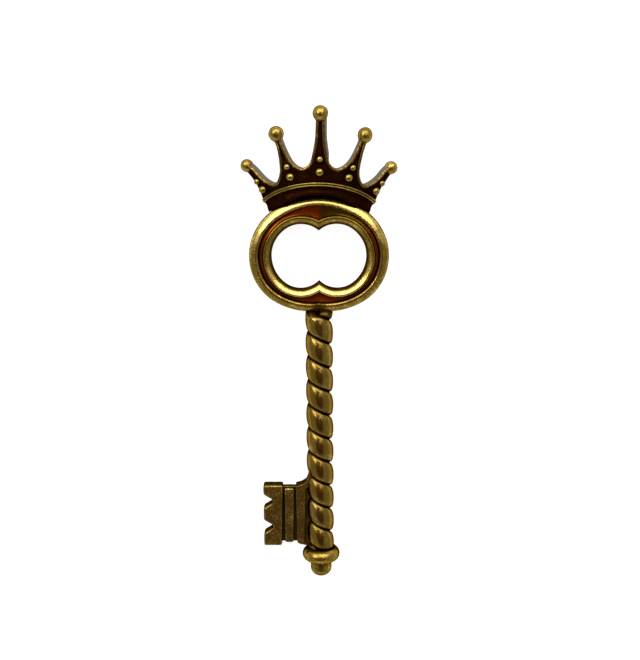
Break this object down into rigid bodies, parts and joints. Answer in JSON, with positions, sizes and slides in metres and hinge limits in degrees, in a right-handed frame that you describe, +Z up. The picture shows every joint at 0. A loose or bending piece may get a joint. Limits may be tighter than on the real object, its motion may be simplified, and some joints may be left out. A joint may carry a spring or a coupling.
{
  "type": "decorative skeleton key",
  "caption": "Decorative skeleton key in antique brass with a crown above an oval bow, a twisted stem, a notched bit and a collar with an end knob.",
  "frame": {"origin": "under the middle of the key's box, on the surface that it lies on", "axes": "+Y along the key towards the crown, +X to the right with the bit at -X, +Z up from the surface to the crown's face"},
  "size_m": [0.0394, 0.1232, 0.0111],
  "materials": {
    "brass_aged": "cast, darkened and rubbed back on the high places",
    "brass_dark": "cast, with a dark brown patina left in the recesses",
    "brass_rubbed": "cast, patina rubbed off to a soft shine"
  },
  "bodies": {
    "root": {"bow": "brass_aged", "crown": "brass_dark", "crown_moulding": "brass_rubbed", "rim_inner_left": "brass_rubbed", "rim_outer_left": "brass_rubbed", "rim_inner_right": "brass_rubbed", "rim_outer_right": "brass_rubbed", "pearl_outer_left": "brass_rubbed", "pearl_inner_left": "brass_rubbed", "pearl_middle": "brass_rubbed", "pearl_inner_right": "brass_rubbed", "pearl_outer_right": "brass_rubbed", "stud_outer_left_lower": "brass_rubbed", "stud_outer_left_upper": "brass_rubbed", "stud_inner_left_lower": "brass_rubbed", "stud_inner_left_upper": "brass_rubbed", "stud_middle_lower": "brass_rubbed", "stud_middle_upper": "brass_rubbed", "stud_inner_right_lower": "brass_rubbed", "stud_inner_right_upper": "brass_rubbed", "stud_outer_right_lower": "brass_rubbed", "stud_outer_right_upper": "brass_rubbed", "stem": "brass_aged", "bit": "brass_aged", "collar": "brass_aged", "end_knob": "brass_aged"}
  },
  "joints": []
}
